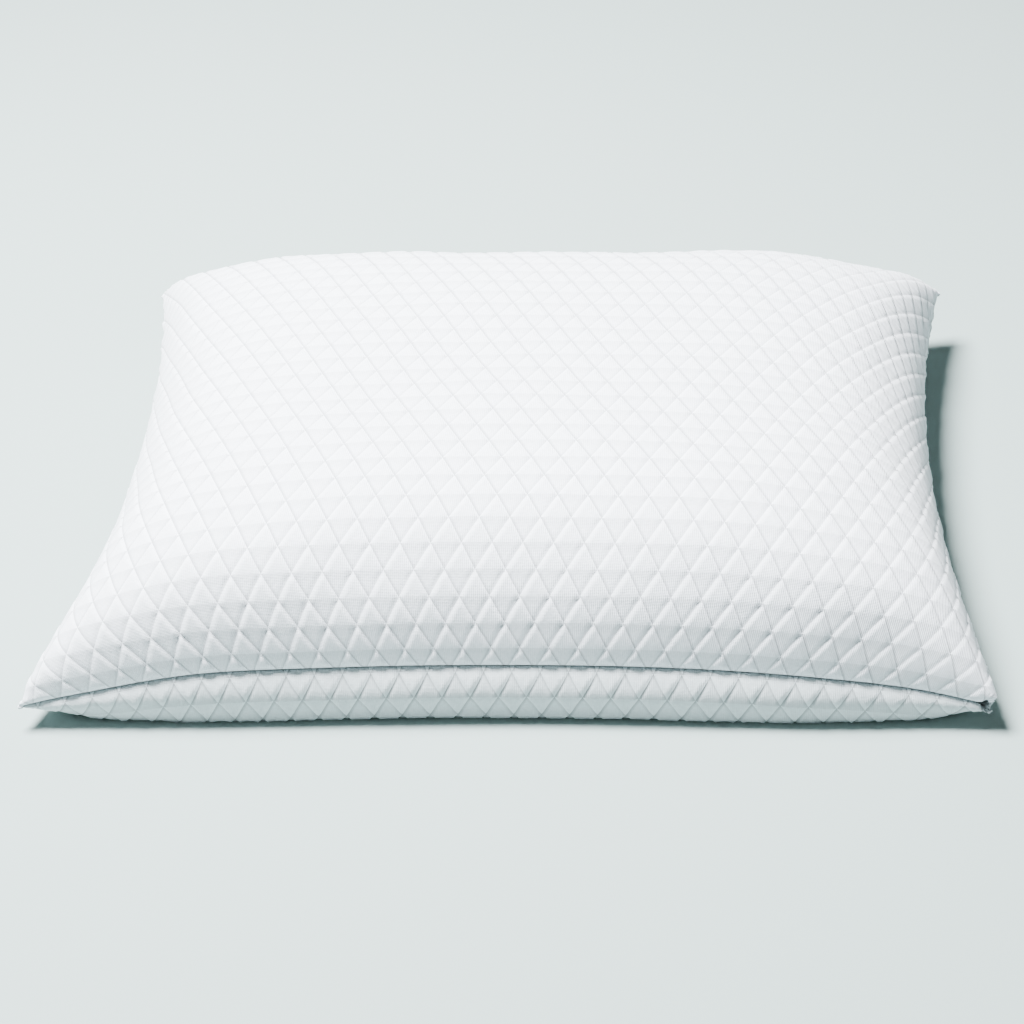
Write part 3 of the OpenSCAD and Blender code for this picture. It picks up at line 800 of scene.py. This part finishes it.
def crumb_heights(points, seed):
    """How far each point lies from its nearest crumb's middle, and that crumb's own share."""
    random = np.random.default_rng(seed)
    low, high = points.min(axis=0), points.max(axis=0)
    count = int(np.prod((high - low)[:2]) / CRUMB ** 2 * 1.6)
    pick = random.choice(len(points), size=min(count, len(points)), replace=False)
    tree = KDTree(len(pick))
    for n, k in enumerate(pick):
        tree.insert(points[k], n)
    tree.balance()
    own = random.uniform(0, 1, len(pick))
    heights = np.empty(len(points))
    for k, point in enumerate(points):
        _, n, distance = tree.find(point)
        heights[k] = 1 - min(distance / CRUMB, 1) ** 2 + 0.5 * own[n]
    return heights


def make_foam():
    bm = bmesh.new()
    upper = bmesh.ops.create_grid(bm, x_segments=190, y_segments=146, size=1)["verts"]
    lower = bmesh.ops.create_grid(bm, x_segments=190, y_segments=146, size=1)["verts"]
    lower_faces = {f for v in lower for f in v.link_faces}
    bmesh.ops.reverse_faces(bm, faces=list(lower_faces))
    for on_side, verts in ((1, upper), (-1, lower)):
        for v in verts:
            s, t = np.sin(np.pi / 2 * np.float64(v.co.x)), np.sin(np.pi / 2 * np.float64(v.co.y))
            v.co = Vector(form(on_side, s, t, FOAM_INSET, FOAM_DEPTH))
    bmesh.ops.remove_doubles(bm, verts=bm.verts[:], dist=1e-5)
    bm.normal_update()
    foam = new_piece("foam_fill_mass", bm)
    points = read_points(foam.data)
    normals = np.empty(len(points) * 3)
    foam.data.vertices.foreach_get("normal", normals)
    lumps = crumb_heights(points, 5)
    points += normals.reshape(-1, 3) * ((lumps - 1.5) * 2.6 * MM)[:, None]
    points[:, 2] = np.maximum(points[:, 2], FOAM_DEPTH)
    write_points(foam.data, points)
    return foam


foam_fill = make_foam()
sponge = Nodes("shredded_foam", (0.88, 0.83, 0.62), 0.95)
cells = sponge.node("ShaderNodeTexVoronoi", Scale=900.0)
crumbs = sponge.node("ShaderNodeTexNoise", Scale=70.0, Detail=2.0)
place = sponge.node("ShaderNodeTexCoord")
for node in (cells, crumbs):
    sponge.tree.links.new(place.outputs["Object"], node.inputs["Vector"])
tone = sponge.node("ShaderNodeMix", [("Factor", crumbs.outputs["Fac"])], data_type="RGBA")
tone.inputs["A"].default_value = (0.90, 0.88, 0.74, 1)
tone.inputs["B"].default_value = (0.86, 0.76, 0.48, 1)
sponge.to_shader("Base Color", tone.outputs["Result"])
pores = sponge.node("ShaderNodeBump", [("Height", cells.outputs["Distance"])])
pores.inputs["Strength"].default_value = 0.6
pores.inputs["Distance"].default_value = 0.3 * MM
sponge.to_shader("Normal", pores.outputs[0])
foam_fill.data.materials.append(sponge.material)
print("foam", len(foam_fill.data.polygons), "faces")

# %% [markdown]
# ## The zips
# Both zips are coil zips. Each half is a woven tape with a plastic coil sewn along its edge, and a slider
# joins the halves. The tape lies flat where the slider runs and leans in behind the cloth past it.
#
# A tape starts as a grid in its own plane. Its outer part is turned in, and Solidify thickens it.


# %% Zip tapes
def zip_tape(prefix, way):
    node = f"{prefix}_zip_tape_{way}"
    low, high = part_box(node)
    sign = 1 if way == "upper" else -1
    slot = SLOT_HALF if prefix == "cover" else LINER_SLOT_HALF
    near = low[2] if sign > 0 else high[2]
    bend = near + sign * (slot - 0.6 * MM)
    width = (11 if prefix == "cover" else 9) * MM
    half = high[0]
    bm = bmesh.new()
    bmesh.ops.create_grid(bm, x_segments=160, y_segments=12, size=1)
    uv = bm.loops.layers.uv.new("cloth")
    for face in bm.faces:
        for loop in face.loops:
            loop[uv].uv = (loop.vert.co.x * half, loop.vert.co.y * width / 2)
    for v in bm.verts:
        along, across = v.co.x, (v.co.y + 1) / 2 * width
        past = max(0, across - abs(bend - near))
        ripple = 0.12 * MM * math.sin(along * 61) * min(1, past / (2 * MM))
        lean = past * math.sin(math.radians(45))
        z = near + sign * (min(across, abs(bend - near)) + lean)
        v.co = Vector((along * half, high[1] - lean - abs(ripple), z))
    bmesh.ops.recalc_face_normals(bm, faces=bm.faces[:])
    if sum(f.normal.y for f in bm.faces) < 0:
        bmesh.ops.reverse_faces(bm, faces=bm.faces[:])
    tape = new_piece(f"{node}_woven", bm)
    thicken(tape, 0.6 * MM)
    tape.data.materials.append(tape_weave)
    return tape, node


tape_weave = woven("zip_tape_weave", (0.86, 0.865, 0.85), (0.76, 0.765, 0.75), 0.9 * MM)
soft_pieces = [zip_tape(prefix, way) for prefix in ("cover", "liner") for way in ("upper", "lower")]
print("tapes:", len(soft_pieces))


# %% [markdown]
# A coil is one plastic filament wound into hundreds of loops. Here the loops are separate rings, which
# looks the same from outside. One ring is a circle spun round, scaled to the coil's height and width
# and repeated along the tape. Its section has few sides, since there are so many of it.

# %% Zip coils
LOOP_REACH = 1 * MM


def zip_coil(prefix, way):
    node = f"{prefix}_zip_coil_{way}"
    low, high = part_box(node)
    pitch = (1.5 if prefix == "cover" else 1.25) * MM
    thick = 0.42 * MM if prefix == "cover" else 0.34 * MM
    tall, wide = high[1] - low[1], high[2] - low[2]
    bm = bmesh.new()
    ring = bmesh.ops.create_circle(bm, segments=5, radius=thick)
    turn = Matrix.Rotation(math.radians(90), 3, "X")
    bmesh.ops.translate(bm, vec=(0, 0, LOOP_REACH), verts=ring["verts"])
    bmesh.ops.rotate(bm, verts=ring["verts"], cent=(0, 0, LOOP_REACH), matrix=turn)
    bmesh.ops.spin(
        bm, geom=bm.edges[:], cent=(0, 0, 0), axis=(1, 0, 0), angle=2 * math.pi, steps=10,
        use_merge=True, use_duplicate=False
    )
    bmesh.ops.remove_doubles(bm, verts=bm.verts[:], dist=1e-6)
    extent = LOOP_REACH + thick
    bmesh.ops.scale(bm, vec=(1, tall / 2 / extent, wide / 2 / extent), verts=bm.verts[:])
    bmesh.ops.recalc_face_normals(bm, faces=bm.faces[:])
    middle = Vector((low[0] + pitch, (low[1] + high[1]) / 2, (low[2] + high[2]) / 2))
    bmesh.ops.translate(bm, vec=middle, verts=bm.verts[:])
    first = bm.verts[:] + bm.edges[:] + bm.faces[:]
    count = int((high[0] - low[0] - 2 * pitch) / pitch)
    for n in range(1, count + 1):
        copy = bmesh.ops.duplicate(bm, geom=first)["geom"]
        lean = Vector((n * pitch, 0, 0))
        bmesh.ops.translate(bm, vec=lean, verts=[e for e in copy if isinstance(e, bmesh.types.BMVert)])
    coil = new_piece(f"{node}_loops", bm)
    coil.data.materials.append(coil_plastic)
    return coil, node


nylon = Nodes("coil_nylon", (0.84, 0.85, 0.83), 0.38)
nylon.shader.inputs["Subsurface Weight"].default_value = 0.1
nylon_place = nylon.node("ShaderNodeTexCoord")
nylon_haze = nylon.node(
    "ShaderNodeTexNoise", [("Vector", nylon_place.outputs["Object"])], Scale=500.0, Detail=2.0
)
nylon_bump = nylon.node("ShaderNodeBump", [("Height", nylon_haze.outputs["Fac"])])
nylon_bump.inputs["Strength"].default_value = 0.15
nylon_bump.inputs["Distance"].default_value = 0.05 * MM
nylon.to_shader("Normal", nylon_bump.outputs[0])
coil_plastic = nylon.material
soft_pieces += [zip_coil(prefix, way) for prefix in ("cover", "liner") for way in ("upper", "lower")]
print("loops on one cover coil:", len(soft_pieces[4][0].data.polygons) // 50)

# %% [markdown]
# Sliders, pulls and stops are small castings and stampings. Their shapes are right in the frame, but a
# casting has no sharp edges. So each is a copy of the frame's own mesh, merged, with its edges bevelled.


# %% Sliders, pulls and stops
def rounded_copy(node, radius):
    """A copy of a node's mesh with softened edges."""
    bm = bmesh.new()
    bm.from_mesh(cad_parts[node].data)
    bmesh.ops.remove_doubles(bm, verts=bm.verts[:], dist=1e-6)
    bmesh.ops.dissolve_limit(bm, angle_limit=math.radians(3), verts=bm.verts[:], edges=bm.edges[:])
    sharp = [e for e in bm.edges if len(e.link_faces) == 2 and e.calc_face_angle(0) > math.radians(35)]
    bmesh.ops.bevel(
        bm, geom=sharp, offset=radius, offset_type="OFFSET", segments=2, profile=0.5,
        affect="EDGES", clamp_overlap=True, material=-1
    )
    return new_piece(f"{node}_cast", bm, smooth=False)


def cast_metal(name, color, roughness, metallic):
    metal = Nodes(name, color, roughness)
    metal.shader.inputs["Metallic"].default_value = metallic
    where = metal.node("ShaderNodeTexCoord")
    wear = metal.node("ShaderNodeTexNoise", [("Vector", where.outputs["Object"])], Scale=260.0, Detail=4.0)
    spread = metal.node("ShaderNodeMapRange", [("Value", wear.outputs["Fac"])])
    spread.inputs["To Min"].default_value = roughness - 0.08
    spread.inputs["To Max"].default_value = roughness + 0.12
    metal.to_shader("Roughness", spread.outputs[0])
    skin_bump = metal.node("ShaderNodeBump", [("Height", wear.outputs["Fac"])])
    skin_bump.inputs["Strength"].default_value = 0.12
    skin_bump.inputs["Distance"].default_value = 0.05 * MM
    metal.to_shader("Normal", skin_bump.outputs[0])
    return metal.material


lacquer = cast_metal("white_lacquered_zinc", (0.83, 0.84, 0.84), 0.3, 0.0)
stamped = cast_metal("stamped_aluminium", (0.72, 0.73, 0.74), 0.35, 1.0)
for prefix in ("cover", "liner"):
    for part, body in (
        ("zip_slider", f"{prefix}_slider"), ("zip_pull", f"{prefix}_pull"),
        ("zip_top_stops", "pillow"), ("zip_bottom_stop", "pillow")
    ):
        node = f"{prefix}_{part}"
        piece = rounded_copy(node, 0.16 * MM)
        piece.data.materials.append(stamped if "stop" in part else lacquer)
        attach(piece, body)
        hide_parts(node)
print("castings and stampings: 8")

# %% [markdown]
# ## Stitches
# The cloth is sewn to each tape with a row of lockstitch, which lies on the cloth as short dashes that
# dip into it at both ends. Each dash is a small capsule laid where a ray meets the cloth.


# %% Topstitching
def topstitching(prefix, way, panel):
    node = f"{prefix}_zip_stitching_{way}"
    low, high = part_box(node)
    corners = [v.co for v in panel.data.vertices]
    tree = BVHTree.FromPolygons(corners, [p.vertices for p in panel.data.polygons])
    z = (low[2] + high[2]) / 2
    step, length, thick = 3.2 * MM, 2.5 * MM, 0.22 * MM
    bm = bmesh.new()
    count = int((high[0] - low[0]) / step)
    for n in range(count):
        x = low[0] + (n + 0.5) * step
        hit = tree.ray_cast(Vector((x, high[1] + 30 * MM, z)), Vector((0, -1, 0)))[0]
        if hit is None:
            continue
        dash = bmesh.ops.create_uvsphere(bm, u_segments=6, v_segments=4, radius=1)["verts"]
        bmesh.ops.scale(bm, vec=(length / 2, thick, thick), verts=dash)
        bmesh.ops.translate(bm, vec=(x, hit.y + thick * 0.5, z), verts=dash)
    stitches = new_piece(f"{node}_dashes", bm)
    stitches.data.materials.append(sewing_thread)
    return stitches, node


def thread_material(name, color):
    yarn = Nodes(name, color, 0.6)
    where = yarn.node("ShaderNodeTexCoord")
    twist = yarn.node("ShaderNodeTexWave", [("Vector", where.outputs["Object"])], Scale=900.0, Distortion=1.0)
    fold = yarn.node("ShaderNodeBump", [("Height", twist.outputs["Fac"])])
    fold.inputs["Strength"].default_value = 0.4
    fold.inputs["Distance"].default_value = 0.05 * MM
    yarn.to_shader("Normal", fold.outputs[0])
    return yarn.material


sewing_thread = thread_material("polyester_sewing_thread", (0.87, 0.88, 0.88))
for prefix, panels in (("cover", (cover_top, cover_bottom)), ("liner", (liner_top, liner_bottom))):
    soft_pieces += [topstitching(prefix, way, panel) for way, panel in zip(("upper", "lower"), panels)]
print("stitched rows: 4")

# %% [markdown]
# The raw edges inside are overlocked: looped thread wraps the edge of both allowances. It is drawn as one
# thread that goes over, round and under the edge again and again, as a curve with a round section.

# %% Overlock
ALLOWANCE = {"cover": 8 * MM, "liner": 19 * MM}


def edge_place(edge, share, inset):
    one = np.float64(1)
    s, t = {"front": (share, -one), "back": (share, one), "left": (-one, share), "right": (one, share)}[edge]
    x, y = outline(np.float64(s), np.float64(t), inset)
    return [float(value) for value in put_down(x, y, seam_height(x, y))]


def overlock(prefix, edge):
    node = f"{prefix}_thread_{edge}"
    inset = ALLOWANCE[prefix]
    inner_t = (CLOTH_T if prefix == "cover" else LINER_T) + 0.25 * MM
    run = WIDTH if edge in ("front", "back") else DEPTH
    near = (ZIP_HALF if prefix == "cover" else LINER_ZIP_HALF) + 4 * MM
    curve = bpy.data.curves.new(node, "CURVE")
    curve.dimensions = "3D"
    curve.bevel_depth = 0.22 * MM
    curve.bevel_resolution = 0
    loop_points = ((-2.4 * MM, inner_t), (1.1 * MM, 0), (-2.4 * MM, -inner_t), (1.1 * MM, 0))
    reaches = [(-0.985, 0.985)]
    if edge == "back":
        reaches = [(-0.985, -near / (WIDTH / 2 - inset)), (near / (WIDTH / 2 - inset), 0.985)]
    for first, last in reaches:
        count = int((last - first) / 2 * run / (1.1 * MM))
        spline = curve.splines.new("POLY")
        spline.points.add(count * 2 - 1)
        for n in range(count * 2):
            share = np.float64(first + (last - first) * n / (count * 2 - 1))
            outwards, height = loop_points[n % 4]
            x, y, z = edge_place(edge, share, inset + outwards)
            spline.points[n].co = (x, y, z + height, 1)
    holder = bpy.data.objects.new("thread", curve)
    bpy.context.scene.collection.objects.link(holder)
    bpy.context.view_layer.update()
    mesh = bpy.data.meshes.new_from_object(holder.evaluated_get(bpy.context.evaluated_depsgraph_get()))
    bpy.data.objects.remove(holder)
    piece = bpy.data.objects.new(f"{node}_loops", mesh)
    bpy.context.scene.collection.objects.link(piece)
    mesh.materials.clear()
    mesh.materials.append(sewing_thread)
    return piece, node


for prefix in ("cover", "liner"):
    soft_pieces += [overlock(prefix, edge) for edge in ("front", "left", "right", "back")]
print("overlocked edges: 8")

# %% [markdown]
# ## The care label
# A blank satin ribbon is caught in the lining bag's left seam. It is a thin strip with a slight curl.

# %% Care label
label_low, label_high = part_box("care_label")
bm = bmesh.new()
bmesh.ops.create_grid(bm, x_segments=20, y_segments=12, size=1)
uv = bm.loops.layers.uv.new("cloth")
for face in bm.faces:
    for loop in face.loops:
        loop[uv].uv = (loop.vert.co.x * 20 * MM, loop.vert.co.y * 12 * MM)
for v in bm.verts:
    along, up = v.co.x, (v.co.y + 1) / 2
    y = (label_low[1] + label_high[1]) / 2 + along * (label_high[1] - label_low[1]) / 2
    curl = 0.5 * MM * math.sin(along * 2.2) * up
    v.co = Vector((label_high[0] + curl, y, label_low[2] + up * (label_high[2] - label_low[2])))
care_label = new_piece("care_label_ribbon", bm)
thicken(care_label, 0.3 * MM)
care_label.data.materials.append(woven("label_satin", (0.89, 0.89, 0.87), (0.84, 0.84, 0.82), 0.3 * MM, 0.45))
print("label", round(label_high[1] - label_low[1], 4), "m long")

# %% [markdown]
# ## Put the pieces on the frame
# Every piece rides on a body of the frame, and the plain nodes it stands for are hidden.

# %% Cover panels
for piece, node in ((cover_top, "cover_top"), (cover_bottom, "cover_bottom")):
    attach(piece, "pillow")
    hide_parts(node)

# %% Lining, foam and label
for piece, node in ((liner_top, "liner_top"), (liner_bottom, "liner_bottom")):
    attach(piece, "pillow")
    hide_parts(node)
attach(foam_fill, "pillow")
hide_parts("foam_fill")
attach(care_label, "pillow")
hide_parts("care_label")

# %% Tapes, coils and threads
for piece, node in soft_pieces:
    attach(piece, "pillow")
    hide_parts(node)
print("tapes, coils and threads handed over:", len(soft_pieces))

# %% [markdown]
# ## Light, floor and camera
# Soft studio light: one broad lamp from high behind the left shoulder of the pillow, and a pale room
# that fills the shadows with cool light.

# %% The floor
def make_floor():
    bm = bmesh.new()
    bmesh.ops.create_grid(bm, x_segments=1, y_segments=1, size=6)
    bmesh.ops.translate(bm, vec=(0, 0, -0.2 * MM), verts=bm.verts)
    floor = new_piece("floor", bm, smooth=False)
    pale = Nodes("pale_floor", (0.28, 0.35, 0.34), 0.9)
    floor.data.materials.append(pale.material)


make_floor()


# %% The lamps
def area_lamp(name, place, target, size, power, color):
    lamp = bpy.data.lights.new(name, "AREA")
    lamp.shape = "DISK"
    lamp.size = size
    lamp.energy = power
    lamp.color = color
    holder = bpy.data.objects.new(name, lamp)
    holder.location = place
    holder.rotation_euler = (Vector(target) - Vector(place)).to_track_quat("-Z", "Y").to_euler()
    bpy.context.scene.collection.objects.link(holder)


area_lamp("key", (-0.7, 0.2, 2.05), (0, 0, 0.05), 0.9, 450, (0.98, 0.99, 1.0))
room = bpy.data.worlds.new("pale_room")
bpy.context.scene.world = room
room.use_nodes = True
room.node_tree.nodes["Background"].inputs["Color"].default_value = (0.80, 0.94, 0.95, 1)
room.node_tree.nodes["Background"].inputs["Strength"].default_value = 0.27

# %% The camera
view = bpy.data.cameras.new("view")
view.lens = 80
view.sensor_width = 36
view.shift_x = -0.1
view.clip_end = 50
eye = bpy.data.objects.new("view", view)
eye.location = (0.1224, -1.3758, 0.9861)
eye.rotation_euler = (
    Matrix.Rotation(math.radians(2.58), 3, "Z")
    @ Matrix.Rotation(math.radians(90 - 35.58), 3, "X")
    @ Matrix.Rotation(math.radians(-1.52), 3, "Z")
).to_euler()
bpy.context.scene.collection.objects.link(eye)
bpy.context.scene.camera = eye
